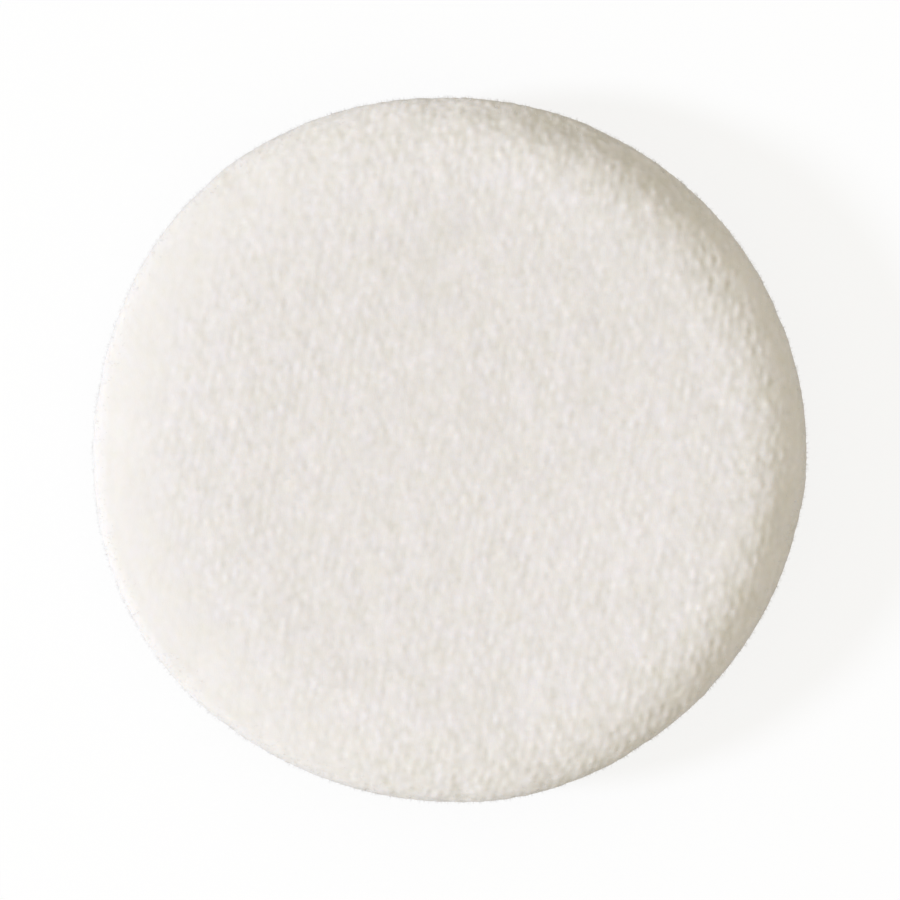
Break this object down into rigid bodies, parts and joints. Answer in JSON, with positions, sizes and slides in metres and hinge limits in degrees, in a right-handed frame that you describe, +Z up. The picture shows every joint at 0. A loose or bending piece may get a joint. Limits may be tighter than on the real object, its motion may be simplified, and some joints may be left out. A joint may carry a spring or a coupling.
{
  "type": "powder puff",
  "caption": "Round sewn powder puff: pale velour covers over a foam disc, with a satin finger ribbon across the back and a turned-in seam round the rim.",
  "frame": {"origin": "centre of the flat underside, on the table that the puff lies on", "axes": "+Z up out of the application face, +X along the finger ribbon on the back"},
  "size_m": [0.0612, 0.06, 0.0106],
  "materials": {
    "velour": "short brushed cotton velour pile, matt, warm white",
    "foam": "open-cell polyurethane foam, pale cream, matt",
    "satin_ribbon": "woven satin with plain selvedges, soft gloss along the ribbon",
    "sewing_thread": "twisted polyester sewing thread, slight sheen"
  },
  "bodies": {
    "root": {"front_cover": "velour", "back_cover": "velour", "foam_core": "foam", "finger_ribbon": "satin_ribbon", "seam_thread": "sewing_thread", "closing_thread": "sewing_thread"}
  },
  "joints": []
}
